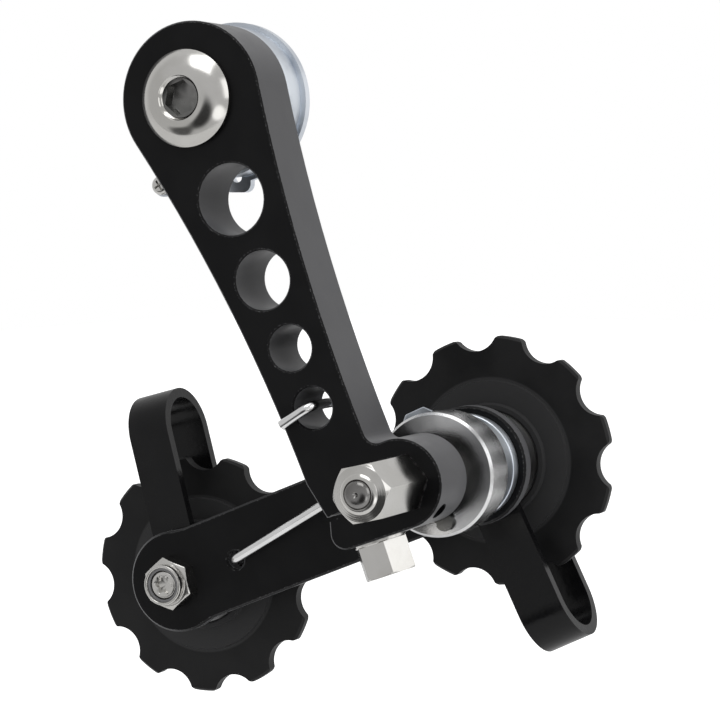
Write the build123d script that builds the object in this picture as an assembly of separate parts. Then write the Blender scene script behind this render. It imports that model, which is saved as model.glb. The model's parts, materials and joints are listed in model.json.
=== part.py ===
from build123d import *
from math import acos, atan2, cos, degrees, hypot, radians, sin, sqrt, tan
import os

# Bicycle chain tensioner, in millimetres.
# X runs to the right, Y from the outer side of the bicycle towards its frame, and Z upwards.
# The origin is the point of the frame's seat on the axis of the hanger bolt.

# Clearances shared by every fit
running_gap = 0.05
side_play = 0.1
thread_gap = 0.03

# Roundness of button heads: how far the curve bulges out, and how high its middle lies
dome_bulge_share = 0.14
dome_middle_share = 0.62

# Stack on the hanger bolt, from the frame's seat outwards
stop_plate_thickness = 1.5
spacer_thickness = 5.3
arm_thickness = 10.6

# Hanger bolt
hanger_bolt_radius = 5.0
hanger_shoulder_radius = 6.0
hanger_thread_length = 7.5
hanger_head_radius = 7.7
hanger_rim_height = 0.9
hanger_dome_height = 2.3
hanger_land_radius = 3.75
hanger_socket_flats = 5.0
hanger_socket_depth = 2.9
hanger_socket_lead_radius = 3.2
hanger_socket_lead_depth = 0.5
hanger_socket_turn = 42.0
hanger_tip_chamfer = 0.8

# Arm
arm_head_radius = 12.2
arm_head_offset = 0.35
arm_left_tangent = 216.1
arm_right_tangent = 12.8
arm_left_end = (20.57, -60.21)
arm_jaw_corner = (24.51, -65.86)
arm_jaw_toe_x = 24.97
arm_jaw_toe_radius = 2.4
arm_boss_fillet = 2.2
arm_side_end_angle = 140.0
arm_side_end_share = 0.8
arm_edge_chamfer = 0.25
light_holes = [(7.48, -15.85, 5.69), (12.99, -28.48, 4.69), (17.77, -38.97, 3.65), (21.68, -48.19, 3.28)]

# Pivot of the cage, and the clamp round its shaft
pivot_x = 36.29
pivot_z = -59.39
boss_radius = 7.0
jaw_angle = 20.0
slit_angle = 27.2
slit_width = 0.8
pinch_from_pivot = 8.3
pinch_bolt_radius = 2.5
pinch_head_flats = 8.0
pinch_head_height = 4.8
pinch_washer_thickness = 0.5
pinch_washer_radius = 4.3
pinch_corner_ease = 0.9
pinch_grip = 14.0
pinch_hole_spare = 1.0
grub_hole_radius = 1.5
grub_hole_angle = -38.0
grub_hole_from_front = 3.0

# Spacer disc and stop plate
spacer_radius = 12.25
spacer_chamfer = 0.4
stop_plate_radius = 13.0
stop_lug_left = -2.0
stop_lug_right = 3.0
stop_lug_reach = 14.65
stop_lug_corner = 1.4
stop_lug_hole = (0.5, -12.15)
stop_lug_hole_radius = 0.9
stop_screw_x = -13.16
stop_screw_z = -13.44
stop_ear_radius = 1.9
stop_screw_radius = 1.0
stop_screw_head_radius = 1.6
stop_screw_head_height = 1.7
stop_screw_head_rim = 0.8
stop_screw_land_radius = 0.8
stop_cross_reach = 0.9
stop_cross_width = 0.35
stop_cross_depth = 0.8
stop_cross_turn = 35.0

# Hexagonal shaft
shaft_flats = 8.4
shaft_turn = 13.0
shaft_nose_from_arm = 15.0
shaft_nose_height = 1.2
shaft_nose_radius = 3.1
shaft_bore_radius = 2.55
journal_radius = 4.0

# Spring collar
collar_radius = 9.95
collar_from_arm = 3.4
collar_length = 6.8
collar_wall = 1.9
collar_front_thickness = 2.2
collar_bevel = 0.4
collar_window_from = 148.0
collar_window_to = 262.0
collar_slot_to = 184.0
collar_screw_offset = (2.0, -7.25)
collar_screw_radius = 1.5
collar_screw_head_height = 0.8
collar_screw_thread_radius = 0.8
collar_slot_width = 0.45
collar_slot_turn = 20.0

# Washers between the collar and the cage plate
collar_to_washers = 2.8
front_washer_thickness = 2.75
tab_washer_thickness = 0.7
rear_washer_thickness = 1.75
washer_radius = 8.7
tab_washer_radius = 8.8
washer_edge = 0.2
tab_angle = 132.0
tab_reach = 12.9
tab_width = 5.6
tab_corner = 0.6

# Torsion spring
wire_radius = 0.8
coil_radius = 5.8
coil_pitch = 1.75
coil_turn_parts = 8
coil_round_share = 0.97
coil_extra_turns = 1
leg_kink_reach = 12.5
leg_clearance = 0.2
coil_clearance = 0.2
leg_crossing = (21.72, -47.8)
leg_tip = (16.8, -51.0)
leg_bend_radius = 2.0

# Cage plate
wheel_distance = 59.0
cage_angle = 202.3
cage_thickness = 2.7
cage_lobe_radius = 9.9
tension_lobe_radius = 8.8
cage_waist = 8.1
cage_lobe_fillet = 14.0
cage_chamfer = 0.35
spring_hole_from_wheel = 12.5
spring_hole_off_line = -0.3
spring_hole_radius = 1.5
bushing_radius = 5.5

# Wheels
tooth_count = 11
chain_pitch = 12.7
seat_radius = 4.1
tip_below_pitch = 1.57
tip_fillet = 0.9
tooth_thickness = 2.1
tooth_edge_chamfer = 0.4
web_below_root = 4.45
web_thickness = 3.0
web_slope = 0.6
hub_radius = 9.45
hub_thickness = 4.4
hub_flare = 0.3
hub_recess_radius = 8.75
hub_recess_depth = 0.5
guide_tooth_angle = 82.1
tension_tooth_angle = 139.0
bush_radius = 4.0
axle_radius = 2.5

# Shields each side of a wheel
shield_radius = 8.4
shield_thickness = 0.8
shield_boss_radius = 5.6

# Chain guards
guard_depth = 14.8
guard_width = 7.7
guard_thickness = 1.7
tip_to_guard = 10.33
wheel_from_guard = 8.6
guard_end_radius = 5.2
guide_guard_angle = -64.0
tension_guard_angle = 105.0

# Axle bolts and lock nut
axle_head_radius = 4.75
axle_head_height = 2.7
axle_head_rim = 0.6
axle_head_land_radius = 2.6
axle_socket_flats = 3.0
axle_socket_depth = 1.6
pivot_pin_radius = 2.25
pivot_pin_dome = 1.3
pin_dome_width_share = 0.8
pin_dome_height_share = 0.68
pivot_pin_dimple_radius = 0.5
pivot_pin_dimple_depth = 0.35
lock_nut_flats = 8.0
lock_nut_height = 5.0
lock_nut_hex_height = 3.3
lock_nut_turn = 12.0
lock_nut_collar_radius = 3.5
lock_nut_mouth_radius = 2.65
bolt_end_beyond_nut = 0.5
bolt_end_chamfer = 0.4
hex_corner_ease = 0.5
hex_face_share = 0.97
nut_roll_share = 0.3

# Places along Y that follow from the sizes above
stop_plate_front = -stop_plate_thickness
arm_back = stop_plate_front - spacer_thickness
arm_front = arm_back - arm_thickness
arm_middle = (arm_front + arm_back) / 2
collar_front = arm_back + collar_from_arm
collar_back = collar_front + collar_length
collar_floor = collar_front + collar_front_thickness
washers_front = collar_back + collar_to_washers
tab_washer_front = washers_front + front_washer_thickness
rear_washer_front = tab_washer_front + tab_washer_thickness
cage_front = rear_washer_front + rear_washer_thickness
cage_back = cage_front + cage_thickness
journal_back = cage_back + side_play
shaft_front = arm_front - shaft_nose_from_arm

# Places in the X-Z plane
pivot = (pivot_x, pivot_z)
cage_direction = radians(cage_angle)
tension_x = pivot_x + wheel_distance * cos(cage_direction)
tension_z = pivot_z + wheel_distance * sin(cage_direction)
tension = (tension_x, tension_z)
pitch_radius = chain_pitch / (2 * sin(radians(180 / tooth_count)))
tip_radius = pitch_radius - tip_below_pitch
web_radius = pitch_radius - seat_radius - web_below_root
guard_reach = tip_radius + tip_to_guard + guard_thickness


def polar(radius, angle, centre=(0, 0)):
    return (centre[0] + radius * cos(radians(angle)), centre[1] + radius * sin(radians(angle)))


def slab(outline, front, back):
    # An outline drawn in X and Z, filled from front to back along Y
    return extrude(Plane.XZ.offset(-back) * outline, back - front)


def rod(radius, front, back, at=(0, 0)):
    return slab(Pos(*at) * Circle(radius), front, back)


def turned(points, at=(0, 0)):
    # Points are (radius, Y), and the axis is parallel to Y
    return Pos(at[0], 0, at[1]) * revolve(make_face(Polyline(*points, close=True)), Axis.Y)


def washer(outer, inner, front, back, at=(0, 0), edge=0.0):
    points = [(inner, front), (outer - edge, front), (outer, front + edge)]
    points += [(outer, back - edge), (outer - edge, back), (inner, back)]
    if edge == 0:
        points = [(inner, front), (outer, front), (outer, back), (inner, back)]
    return turned(points, at)


def hexagon(flats, turn=0.0, at=(0, 0)):
    # Corners point left and right when turn is zero
    return Pos(*at) * Rot(0, 0, turn) * RegularPolygon(flats / sqrt(3), 6)


def eased_hex(flats, front, back, turn, at):
    # A hexagonal bar whose corners are turned off at its front end
    corner = flats / sqrt(3)
    flat = flats / 2
    cone = [(0, back), (corner, back), (corner, front + hex_corner_ease), (flat * hex_face_share, front), (0, front)]
    return slab(hexagon(flats, turn, at), front, back) & turned(cone, at)


def dome_head(radius, rim, land_radius, height, seat, facing, bore=0.0):
    # A button head on the axis, from its seat out along Y; facing is -1 for outwards and 1 for inwards
    rim_y = seat + facing * rim
    top_y = seat + facing * height
    middle_radius = (radius + land_radius) / 2 + dome_bulge_share * height
    middle_y = seat + facing * (rim + (height - rim) * dome_middle_share)
    curve = ThreePointArc((radius, rim_y), (middle_radius, middle_y), (land_radius, top_y))
    outline = [
        Line((bore, seat), (radius, seat)),
        Line((radius, seat), (radius, rim_y)),
        curve,
        Line((land_radius, top_y), (bore, top_y)),
        Line((bore, top_y), (bore, seat)),
    ]
    return revolve(make_face(outline), Axis.Y)


def hanger_bolt():
    head_height = hanger_rim_height + hanger_dome_height
    head = dome_head(hanger_head_radius, hanger_rim_height, hanger_land_radius, head_height, arm_front, -1)
    tip = hanger_thread_length - hanger_tip_chamfer
    shank = [(0, arm_front), (hanger_shoulder_radius, arm_front), (hanger_shoulder_radius, 0)]
    shank += [(hanger_bolt_radius, 0), (hanger_bolt_radius, tip)]
    shank += [(hanger_bolt_radius - hanger_tip_chamfer, hanger_thread_length), (0, hanger_thread_length)]
    top = arm_front - head_height
    lead = rod(hanger_socket_lead_radius, top, top + hanger_socket_lead_depth)
    socket = slab(hexagon(hanger_socket_flats, hanger_socket_turn), top, top + hanger_socket_depth)
    return head + turned(shank) - lead - socket


def arm_outline():
    head_centre = (arm_head_offset, 0)
    left_start = polar(arm_head_radius, arm_left_tangent, head_centre)
    right_start = polar(arm_head_radius, arm_right_tangent, head_centre)
    right_end = polar(boss_radius * arm_side_end_share, arm_side_end_angle, pivot)
    jaw_start = polar(boss_radius, jaw_angle - 90, pivot)
    left_run = polar(1, arm_left_tangent + 90)
    right_run = polar(1, arm_right_tangent - 90)
    sides = [
        TangentArc(left_start, arm_left_end, tangent=left_run),
        Polyline(arm_left_end, arm_jaw_corner, jaw_toe(), jaw_start, pivot, right_end),
        TangentArc(right_start, right_end, tangent=right_run),
        Line(right_start, head_centre),
        Line(head_centre, left_start),
    ]
    outline = make_face(sides) + Pos(*head_centre) * Circle(arm_head_radius) + Pos(*pivot) * Circle(boss_radius)
    outline = fillet(nearest_vertex(outline, jaw_toe()), arm_jaw_toe_radius)
    notch = polar(boss_radius, arm_side_end_angle, pivot)
    return fillet(nearest_vertex(outline, notch), arm_boss_fillet)


def jaw_toe():
    # The toe lies on the jaw's lower edge, straight below the jaw's corner
    start = polar(boss_radius, jaw_angle - 90, pivot)
    x = arm_jaw_toe_x
    return (x, start[1] - (start[0] - x) * tan(radians(jaw_angle)))


def nearest_vertex(sketch, point):
    return sketch.vertices().sort_by(lambda v: hypot(v.X - point[0], v.Y - point[1]))[0]


def pinch_frame(along):
    # A plane on the pinch bolt's axis, its normal pointing out of the jaw; along is the depth into it
    foot = polar(boss_radius, jaw_angle - 90, pivot)
    back = radians(jaw_angle)
    x = foot[0] - pinch_from_pivot * cos(back) - along * sin(back)
    z = foot[1] - pinch_from_pivot * sin(back) + along * cos(back)
    out = (sin(back), 0, -cos(back))
    return Plane(origin=(x, arm_middle, z), x_dir=(0, 1, 0), z_dir=out)


def arm():
    body = slab(arm_outline(), arm_front, arm_back)
    for x, z, radius in light_holes:
        body -= rod(radius, arm_front, arm_back, (x, z))
    body -= rod(hanger_shoulder_radius + running_gap, arm_front, arm_back)
    front_edges = body.faces().sort_by(Axis.Y)[0].edges()
    back_edges = body.faces().sort_by(Axis.Y)[-1].edges()
    body = chamfer(front_edges + back_edges, arm_edge_chamfer)
    body -= slab(hexagon(shaft_flats + 2 * running_gap, shaft_turn, pivot), arm_front, arm_back)
    slit_length = hypot(arm_jaw_corner[0] - pivot_x, arm_jaw_corner[1] - pivot_z) + arm_jaw_toe_radius
    slit = Pos(*pivot) * Rot(0, 0, slit_angle) * Pos(-slit_length / 2, 0) * Rectangle(slit_length, slit_width)
    body -= slab(slit, arm_front, arm_back)
    hole_depth = pinch_grip + pinch_hole_spare
    body -= extrude(pinch_frame(hole_depth) * Circle(pinch_bolt_radius + thread_gap), hole_depth + 1)
    out = polar(1, grub_hole_angle)
    grub_plane = Plane(origin=(pivot_x, arm_front + grub_hole_from_front, pivot_z), z_dir=(out[0], 0, out[1]))
    return body - extrude(grub_plane * Circle(grub_hole_radius), boss_radius + 1)


def pinch_washer():
    hole = pinch_bolt_radius + running_gap
    return extrude(pinch_frame(0) * (Circle(pinch_washer_radius) - Circle(hole)), pinch_washer_thickness)


def axial(points, plane):
    # Points are (radius, height above the plane), turned about the plane's normal
    return plane.location * revolve(Plane.XZ * make_face(Polyline(*points, close=True)), Axis.Z)


def pinch_bolt():
    seat = pinch_frame(-pinch_washer_thickness)
    corner = pinch_head_flats / sqrt(3)
    top = pinch_head_height
    head = extrude(seat * RegularPolygon(corner, 6), top)
    ease = pinch_corner_ease
    head &= axial([(0, 0), (corner, 0), (corner, top - ease), (corner - ease, top), (0, top)], seat)
    shank = extrude(pinch_frame(pinch_grip) * Circle(pinch_bolt_radius), pinch_grip + pinch_washer_thickness)
    return head + shank


def spacer_disc():
    bore = hanger_shoulder_radius + running_gap
    return washer(spacer_radius, bore, arm_back, stop_plate_front, edge=spacer_chamfer)


def stop_plate():
    lug_middle = (stop_lug_left + stop_lug_right) / 2
    lug = Pos(lug_middle, -stop_lug_reach / 2) * Rectangle(stop_lug_right - stop_lug_left, stop_lug_reach)
    lug = fillet(lug.vertices().sort_by(Axis.Y)[:2], stop_lug_corner)
    ear_angle = degrees(atan2(stop_screw_z, stop_screw_x))
    ear_length = hypot(stop_screw_x, stop_screw_z)
    ear = Rot(0, 0, ear_angle) * Pos(ear_length / 2, 0) * Rectangle(ear_length, 2 * stop_ear_radius)
    ear += Pos(stop_screw_x, stop_screw_z) * Circle(stop_ear_radius)
    outline = Circle(stop_plate_radius) + lug + ear
    outline -= Circle(hanger_shoulder_radius + running_gap)
    outline -= Pos(*stop_lug_hole) * Circle(stop_lug_hole_radius)
    outline -= Pos(stop_screw_x, stop_screw_z) * Circle(stop_screw_radius + thread_gap)
    return slab(outline, stop_plate_front, 0)


def stop_screw():
    top = stop_plate_front - stop_screw_head_height
    head = dome_head(stop_screw_head_radius, stop_screw_head_rim, stop_screw_land_radius,
                     stop_screw_head_height, stop_plate_front, -1)
    cross = Rectangle(2 * stop_cross_reach, stop_cross_width) + Rectangle(stop_cross_width, 2 * stop_cross_reach)
    head -= slab(Rot(0, 0, stop_cross_turn) * cross, top, top + stop_cross_depth)
    return Pos(stop_screw_x, 0, stop_screw_z) * (head + rod(stop_screw_radius, stop_plate_front, 0))


def hex_shaft():
    corner = shaft_flats / sqrt(3)
    flat = shaft_flats / 2
    step = shaft_front + shaft_nose_height
    nose = [(0, collar_floor), (corner, collar_floor), (corner, step)]
    nose += [(flat, shaft_front + shaft_nose_height / 3), (shaft_nose_radius, shaft_front), (0, shaft_front)]
    bar = slab(hexagon(shaft_flats, shaft_turn, pivot), shaft_front, collar_floor) & turned(nose, pivot)
    bar += rod(journal_radius, collar_floor, journal_back, pivot)
    return bar - rod(shaft_bore_radius, shaft_front, journal_back, pivot)


def axle_head(seat, at):
    # Low button head with a hexagonal socket, on the side of the bicycle's frame
    head = dome_head(axle_head_radius, axle_head_rim, axle_head_land_radius, axle_head_height, seat, 1)
    top = seat + axle_head_height
    head -= slab(hexagon(axle_socket_flats), top - axle_socket_depth, top)
    return Pos(at[0], 0, at[1]) * head


def guide_axle_bolt():
    seat = journal_back + guard_depth
    tip = shaft_front - pivot_pin_dome
    floor = tip + pivot_pin_dimple_depth
    dome_middle = (pivot_pin_radius * pin_dome_width_share, shaft_front - pivot_pin_dome * pin_dome_height_share)
    outline = [
        Line((0, seat), (axle_radius, seat)),
        Line((axle_radius, seat), (axle_radius, shaft_front + shaft_nose_height)),
        Line((axle_radius, shaft_front + shaft_nose_height), (pivot_pin_radius, shaft_front)),
        ThreePointArc((pivot_pin_radius, shaft_front), dome_middle, (pivot_pin_dimple_radius, tip)),
        Line((pivot_pin_dimple_radius, tip), (0, floor)),
        Line((0, floor), (0, seat)),
    ]
    shank = Pos(pivot_x, 0, pivot_z) * revolve(make_face(outline), Axis.Y)
    return axle_head(seat, pivot) + shank


def sector(start, end, radius):
    points = [pivot, polar(radius, start, pivot)]
    points += [polar(radius / cos(radians((end - start) / 4)), start + (end - start) * 0.5, pivot)]
    points += [polar(radius, end, pivot)]
    return make_face(Polyline(*points, close=True))


def spring_collar():
    inner = collar_radius - collar_wall
    points = [(0, collar_front), (collar_radius - collar_bevel, collar_front)]
    points += [(collar_radius, collar_front + collar_bevel), (collar_radius, collar_back - collar_bevel / 2)]
    points += [(collar_radius - collar_bevel / 2, collar_back), (inner, collar_back)]
    points += [(inner, collar_floor), (0, collar_floor)]
    body = turned(points, pivot)
    body -= slab(hexagon(shaft_flats + 2 * running_gap, shaft_turn, pivot), collar_front, collar_floor)
    reach = 2 * collar_radius
    body -= slab(sector(collar_window_from, collar_window_to, reach), coil_back - 2 * wire_radius, collar_back)
    body -= slab(sector(collar_window_from, collar_slot_to, reach), collar_floor, collar_back)
    return body - rod(collar_screw_thread_radius + thread_gap, collar_front, collar_floor, collar_screw_place())


def collar_screw_place():
    return (pivot_x + collar_screw_offset[0], pivot_z + collar_screw_offset[1])


def collar_screw():
    place = collar_screw_place()
    top = collar_front - collar_screw_head_height
    head = rod(collar_screw_radius, top, collar_front, place)
    slot = Pos(*place) * Rot(0, 0, collar_slot_turn) * Rectangle(3 * collar_screw_radius, collar_slot_width)
    head -= slab(slot, top, top + collar_screw_head_height / 2)
    return head + rod(collar_screw_thread_radius, collar_front, collar_floor, place)


def journal_washer(front, back):
    return washer(washer_radius, journal_radius + running_gap, front, back, pivot, washer_edge)


def stop_tab_washer():
    inner = journal_radius + running_gap
    ring = washer(tab_washer_radius, inner, tab_washer_front, rear_washer_front, pivot, washer_edge)
    tab = Pos(tab_reach / 2 + inner / 2, 0) * Rectangle(tab_reach - inner, tab_width)
    tab = fillet(tab.vertices().sort_by(Axis.X)[-2:], tab_corner)
    tab = slab(Pos(*pivot) * Rot(0, 0, tab_angle) * tab, tab_washer_front, rear_washer_front)
    return ring + (tab - rod(tab_washer_radius - 1, tab_washer_front, rear_washer_front, pivot))


def spring_hole_place():
    # The hole's place along the plate from the pivot, and off the line between the two centres
    x = wheel_distance - spring_hole_from_wheel
    return (x, -spring_hole_off_line)


def in_plane(point, y):
    return (point[0], y, point[1])


def spring_hook():
    # The reach and direction of the plate's spring hole from the pivot
    along, across = spring_hole_place()
    return (hypot(along, across), cage_angle + degrees(atan2(across, along)))


def coil_start_angle():
    reach, angle = spring_hook()
    return angle - degrees(acos(coil_radius / reach))


def coil_end_angle():
    dx = leg_crossing[0] - pivot_x
    dz = leg_crossing[1] - pivot_z
    return degrees(atan2(dz, dx)) + degrees(acos(coil_radius / hypot(dx, dz)))


def coil_sweep():
    return (coil_start_angle() - coil_end_angle()) % 360 + 360 * coil_extra_turns


def spring_path():
    reach, angle = spring_hook()
    hook = polar(reach, angle, pivot)
    start = coil_start_angle()
    hook_y = cage_front - wire_radius - leg_clearance
    run = sqrt(leg_kink_reach ** 2 - coil_radius ** 2)
    tangent_point = polar(coil_radius, start, pivot)
    kink = (tangent_point[0] + run * cos(radians(start + 90)), tangent_point[1] + run * sin(radians(start + 90)))
    points = [in_plane(hook, cage_back), in_plane(hook, hook_y), in_plane(kink, coil_back)]
    total = coil_sweep()
    corners = round(total / 360 * coil_turn_parts)
    part = total / corners
    for i in range(corners):
        turned_by = (i + 0.5) * part
        corner = polar(coil_radius / cos(radians(part / 2)), start - turned_by, pivot)
        points.append(in_plane(corner, coil_back + (coil_front - coil_back) * turned_by / total))
    leg_y = arm_front - wire_radius - leg_clearance
    points += [in_plane(leg_crossing, coil_front), in_plane(leg_crossing, leg_y), in_plane(leg_tip, leg_y)]
    radii = [leg_bend_radius, leg_bend_radius] + [coil_radius * coil_round_share] * corners + [leg_bend_radius] * 2
    return FilletPolyline(*points, radius=radii)


def torsion_spring():
    path = spring_path()
    return sweep(Plane(origin=path @ 0, z_dir=path % 0) * Circle(wire_radius), path=path)


def cage_plate():
    ends = Circle(cage_lobe_radius) + Pos(wheel_distance, 0) * Circle(tension_lobe_radius)
    outline = ends + Pos(wheel_distance / 2, 0) * Rectangle(wheel_distance, 2 * cage_waist)
    notches = [v for v in outline.vertices() if abs(abs(v.Y) - cage_waist) < 0.01]
    outline = fillet(notches, cage_lobe_fillet)
    outline -= Circle(bushing_radius)
    outline -= Pos(wheel_distance, 0) * Circle(axle_radius + running_gap)
    outline -= Pos(*spring_hole_place()) * Circle(spring_hole_radius)
    plate = slab(Pos(*pivot) * Rot(0, 0, cage_angle) * outline, cage_front, cage_back)
    front_edges = plate.faces().sort_by(Axis.Y)[0].edges()
    back_edges = plate.faces().sort_by(Axis.Y)[-1].edges()
    outer = [e for e in front_edges + back_edges if not is_bushing_edge(e)]
    return chamfer(outer, cage_chamfer)


def is_bushing_edge(edge):
    return edge.geom_type == GeomType.CIRCLE and abs(edge.radius - bushing_radius) < 0.01


def plate_bushing():
    return washer(bushing_radius, journal_radius + running_gap, cage_front, cage_back, pivot)


def wheel_teeth():
    outline = Circle(tip_radius)
    for i in range(tooth_count):
        outline -= Pos(*polar(pitch_radius, i * 360 / tooth_count)) * Circle(seat_radius)
    outline = fillet(outline.vertices(), tip_fillet)
    half = tooth_thickness / 2
    inner = tip_radius - tooth_edge_chamfer
    lip = half - tooth_edge_chamfer
    rim = [(0, -half), (inner, -half), (tip_radius, -lip), (tip_radius, lip), (inner, half), (0, half)]
    return slab(outline, -half, half) & turned(rim)


def wheel(tooth_angle, centre, middle):
    half_web = web_thickness / 2
    half_hub = hub_thickness / 2
    floor = half_hub - hub_recess_depth
    side = [(hub_recess_radius, floor), (hub_recess_radius, half_hub), (hub_radius, half_hub)]
    side += [(hub_radius + hub_flare, half_web), (web_radius - web_slope, half_web), (web_radius, 0)]
    front = [(r, -y) for r, y in side]
    bore = bush_radius + running_gap
    body = turned([(bore, -floor)] + front + side[-2::-1] + [(bore, floor)])
    teeth = wheel_teeth() - rod(bore, -half_hub, half_hub)
    turn = tooth_angle + 180 / tooth_count
    return Pos(centre[0], middle, centre[1]) * Rot(0, -turn, 0) * (body + teeth)


def shield(centre, guard_front, side):
    # Side is -1 in front of the wheel and 1 behind it
    bore = bush_radius + running_gap
    middle = guard_front + wheel_from_guard
    inner = hub_thickness / 2 - hub_recess_depth + side_play
    outer = inner + shield_thickness
    leg = wheel_from_guard - guard_thickness
    if side == 1:
        leg = guard_depth - wheel_from_guard - guard_thickness
    points = [(bore, inner), (shield_radius, inner), (shield_radius, outer)]
    points += [(shield_boss_radius, outer), (shield_boss_radius, leg), (bore, leg)]
    return turned([(r, middle + side * y) for r, y in points], centre)


def wheel_bush(centre, guard_front):
    front = guard_front + guard_thickness
    back = guard_front + guard_depth - guard_thickness
    return washer(bush_radius, axle_radius + running_gap, front, back, centre)


def chain_guard(angle, centre, guard_front):
    half = guard_depth / 2
    arch = guard_reach - half
    band = Pos(arch / 2, 0) * Rectangle(arch, guard_depth) + Pos(arch, 0) * Circle(half)
    band += Pos(-guard_end_radius / 2, 0) * Rectangle(guard_end_radius, guard_depth)
    hollow = guard_depth - 2 * guard_thickness
    inner_length = arch + guard_end_radius
    band -= Pos(arch - inner_length / 2, 0) * Rectangle(inner_length, hollow)
    band -= Pos(arch, 0) * Circle(hollow / 2)
    loop = extrude(band, guard_end_radius, both=True)
    plan = Pos(guard_reach / 2, 0) * Rectangle(guard_reach, guard_width) + Circle(guard_end_radius)
    plan -= Circle(axle_radius + running_gap)
    loop &= slab(plan, -half, half)
    return Pos(centre[0], guard_front + half, centre[1]) * Rot(0, -angle, 0) * loop


def tension_axle_bolt():
    seat = cage_back + guard_depth
    end = cage_front - lock_nut_height - bolt_end_beyond_nut
    ease = bolt_end_chamfer
    shank = [(0, seat), (axle_radius, seat), (axle_radius, end + ease), (axle_radius - ease, end), (0, end)]
    return axle_head(seat, tension) + turned(shank, tension)


def tension_lock_nut():
    front = cage_front - lock_nut_height
    hex_front = cage_front - lock_nut_hex_height
    body = eased_hex(lock_nut_flats, hex_front, cage_front, lock_nut_turn, tension)
    roll = lock_nut_collar_radius - lock_nut_mouth_radius
    dome = ThreePointArc(
        (lock_nut_collar_radius, front + roll),
        (lock_nut_collar_radius - roll * nut_roll_share, front + roll * nut_roll_share),
        (lock_nut_mouth_radius, front),
    )
    outline = [
        Line((0, cage_front), (lock_nut_collar_radius, cage_front)),
        Line((lock_nut_collar_radius, cage_front), (lock_nut_collar_radius, front + roll)),
        dome,
        Line((lock_nut_mouth_radius, front), (0, front)),
        Line((0, front), (0, cage_front)),
    ]
    body += Pos(tension_x, 0, tension_z) * revolve(make_face(outline), Axis.Y)
    return body - rod(axle_radius + thread_gap, front, cage_front, tension)


coil_front = collar_floor + wire_radius + coil_clearance
coil_back = coil_front + coil_pitch * coil_sweep() / 360

nodes = {
    "hanger_bolt": hanger_bolt(),
    "spacer_disc": spacer_disc(),
    "stop_plate": stop_plate(),
    "stop_screw": stop_screw(),
    "arm": arm(),
    "pinch_bolt": pinch_bolt(),
    "pinch_washer": pinch_washer(),
    "hex_shaft": hex_shaft(),
    "guide_axle_bolt": guide_axle_bolt(),
    "spring_collar": spring_collar(),
    "collar_screw": collar_screw(),
    "torsion_spring": torsion_spring(),
    "front_washer": journal_washer(washers_front, tab_washer_front),
    "stop_tab_washer": stop_tab_washer(),
    "rear_washer": journal_washer(rear_washer_front, cage_front),
    "cage_plate": cage_plate(),
    "plate_bushing": plate_bushing(),
    "guide_bush": wheel_bush(pivot, journal_back),
    "guide_wheel": wheel(guide_tooth_angle, pivot, journal_back + wheel_from_guard),
    "guide_front_shield": shield(pivot, journal_back, -1),
    "guide_rear_shield": shield(pivot, journal_back, 1),
    "guide_chain_guard": chain_guard(guide_guard_angle, pivot, journal_back),
    "tension_axle_bolt": tension_axle_bolt(),
    "tension_lock_nut": tension_lock_nut(),
    "tension_bush": wheel_bush(tension, cage_back),
    "tension_wheel": wheel(tension_tooth_angle, tension, cage_back + wheel_from_guard),
    "tension_front_shield": shield(tension, cage_back, -1),
    "tension_rear_shield": shield(tension, cage_back, 1),
    "tension_chain_guard": chain_guard(tension_guard_angle, tension, cage_back),
}

os.makedirs("parts", exist_ok=True)
for name, solid in nodes.items():
    export_step(solid, f"parts/{name}.step")
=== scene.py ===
import json
import bmesh
import bpy
from math import acos, atan2, cos, hypot, pi, radians, sin, sqrt, tan
from mathutils import Matrix, Vector


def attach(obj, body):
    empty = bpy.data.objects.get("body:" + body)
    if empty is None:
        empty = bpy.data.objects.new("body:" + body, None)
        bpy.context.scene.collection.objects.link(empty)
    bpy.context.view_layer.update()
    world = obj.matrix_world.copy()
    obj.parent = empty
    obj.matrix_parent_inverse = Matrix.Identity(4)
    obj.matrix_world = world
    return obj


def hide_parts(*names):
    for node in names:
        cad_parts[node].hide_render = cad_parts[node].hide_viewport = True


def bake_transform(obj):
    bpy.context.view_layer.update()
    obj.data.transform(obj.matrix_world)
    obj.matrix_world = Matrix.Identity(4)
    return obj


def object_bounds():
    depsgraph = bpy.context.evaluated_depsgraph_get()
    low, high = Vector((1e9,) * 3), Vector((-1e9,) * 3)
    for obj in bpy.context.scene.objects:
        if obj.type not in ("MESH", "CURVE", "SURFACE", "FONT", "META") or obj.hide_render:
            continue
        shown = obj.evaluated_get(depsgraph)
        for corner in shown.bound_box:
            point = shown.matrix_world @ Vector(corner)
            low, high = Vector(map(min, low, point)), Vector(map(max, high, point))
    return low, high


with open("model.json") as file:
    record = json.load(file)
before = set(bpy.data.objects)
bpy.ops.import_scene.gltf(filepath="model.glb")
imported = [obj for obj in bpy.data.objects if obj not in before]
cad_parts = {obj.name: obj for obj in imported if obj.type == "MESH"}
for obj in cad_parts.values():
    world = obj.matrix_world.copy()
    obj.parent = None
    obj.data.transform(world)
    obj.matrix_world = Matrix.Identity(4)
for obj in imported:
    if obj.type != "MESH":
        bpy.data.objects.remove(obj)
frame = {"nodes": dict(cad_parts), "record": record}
cadBox = [list(corner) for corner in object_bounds()]
nodes = frame["nodes"]
mm = 0.001


# Camera: the photograph's place and lens
cameraSpec = {
    "azimuth": 24.30,
    "elevation": 3.459,
    "focalPixels": 2450.0,
    "imageSize": 720.0,
    "boltPixel": (187.77, 98.46),
    "boltFace": (0.0, -17.4 * mm, 0.0),
    "boltDepth": 385.89 * mm,
    "sensor": 36.0,
}


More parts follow.
